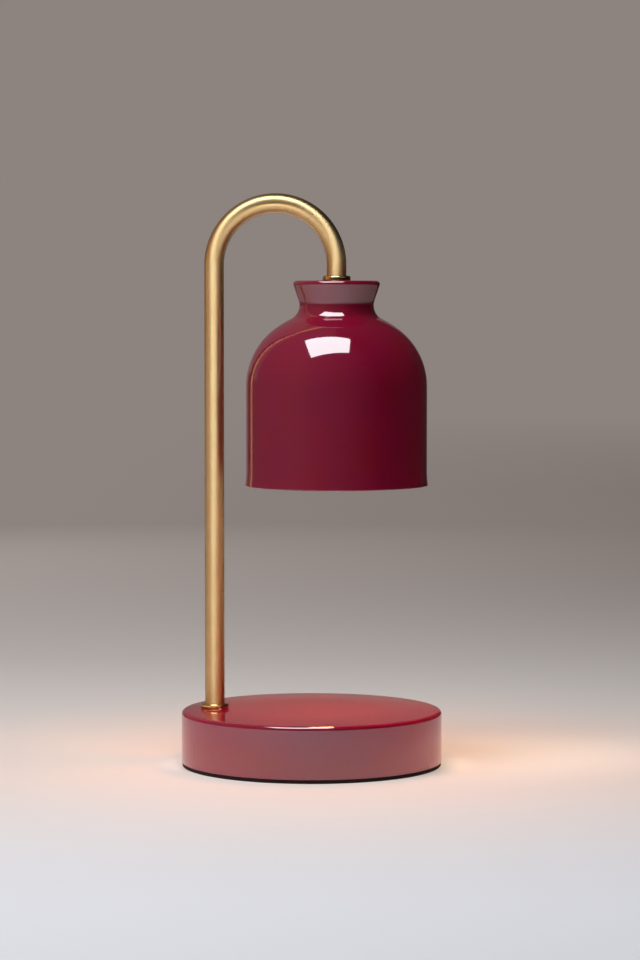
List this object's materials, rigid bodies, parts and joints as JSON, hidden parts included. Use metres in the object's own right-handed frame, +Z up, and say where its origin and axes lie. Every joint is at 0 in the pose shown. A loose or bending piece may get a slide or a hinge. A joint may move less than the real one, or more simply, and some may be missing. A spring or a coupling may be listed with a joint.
{
  "type": "candle warmer lamp",
  "caption": "Table lamp that warms a candle from above: a round weighted base, a brass cane arm, and a bell shade with a twist-lock halogen bulb.",
  "frame": {"origin": "centre of the foot pad's underside, on the base's axis", "axes": "+Z up; the arm stands at -X and the shade hangs towards +X; the cord inlet is at +Y"},
  "size_m": [0.146, 0.151, 0.32],
  "materials": {
    "enamel": "gloss burgundy enamel",
    "satin_brass": "fine brushed, lacquered",
    "polished_brass": "polished",
    "brass_fittings": "as machined",
    "ballast": "as cast",
    "foot_pad": "matt foam",
    "zinc_steel": "zinc plated",
    "porcelain": "unglazed porcelain, opaque",
    "mirror_glass": "aluminised glass, opaque",
    "clear_glass": "clear",
    "nickel": "nickel plated",
    "tungsten": "bare wire",
    "silicone": "matt sleeve",
    "black_nylon": "moulded",
    "natural_nylon": "moulded"
  },
  "bodies": {
    "root": {"base_cover": "enamel", "cover_standoffs": "zinc_steel", "base_weight": "ballast", "base_plate": "zinc_steel", "base_screws": "zinc_steel", "foot_pad": "foot_pad", "arm_tube": "satin_brass", "lower_collar": "polished_brass", "upper_collar": "polished_brass", "lower_nipple": "brass_fittings", "upper_nipple": "brass_fittings", "lower_flat_washer": "zinc_steel", "lower_star_washer": "zinc_steel", "lower_nut": "zinc_steel", "upper_star_washer": "zinc_steel", "upper_nut": "zinc_steel", "shade_shell": "enamel", "holder_bracket": "zinc_steel", "lamp_holder": "porcelain", "holder_cap": "porcelain", "holder_contacts": "brass_fittings", "holder_screws": "zinc_steel", "lead_live": "silicone", "lead_neutral": "silicone", "inlet_bush": "black_nylon", "inlet_nut": "black_nylon", "terminal_block": "natural_nylon", "terminal_tubes": "brass_fittings", "terminal_screws": "zinc_steel", "terminal_fixing_screw": "zinc_steel"},
    "bulb": {"bulb_reflector": "mirror_glass", "bulb_lens": "clear_glass", "bulb_base": "porcelain", "bulb_pins": "nickel", "bulb_capsule": "clear_glass", "bulb_filament": "tungsten"}
  },
  "joints": [
    {"name": "bulb_twist", "type": "hinge", "parent": "root", "child": "bulb", "pos_m": [0.014, 0, 0.24], "axis": [0, 0, 1], "range_deg": [-30, 0]}
  ]
}
